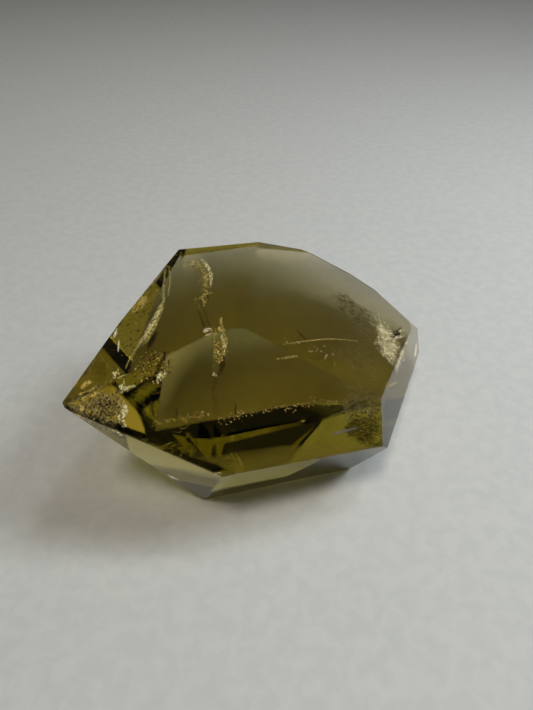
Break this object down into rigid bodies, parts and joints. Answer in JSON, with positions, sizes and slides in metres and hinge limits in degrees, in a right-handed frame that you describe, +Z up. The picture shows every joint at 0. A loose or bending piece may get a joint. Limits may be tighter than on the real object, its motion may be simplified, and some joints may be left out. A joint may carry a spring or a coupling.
{
  "type": "citrine point",
  "caption": "Polished crystal point of smoky olive-yellow citrine with flat facets, resting on a broad lower facet: a mineral specimen or desk ornament.",
  "frame": {"origin": "middle of the footprint's bounding box, on the surface that the crystal rests on", "axes": "+Z up, square to the resting facet; +X along the crystal's length, from its tip to its blunt end; +Y to its back"},
  "size_m": [0.0688, 0.055, 0.0355],
  "materials": {
    "citrine": "polished, clear, smoky olive-yellow quartz with veils and healed cracks"
  },
  "bodies": {
    "root": {"citrine_point": "citrine"}
  },
  "joints": []
}
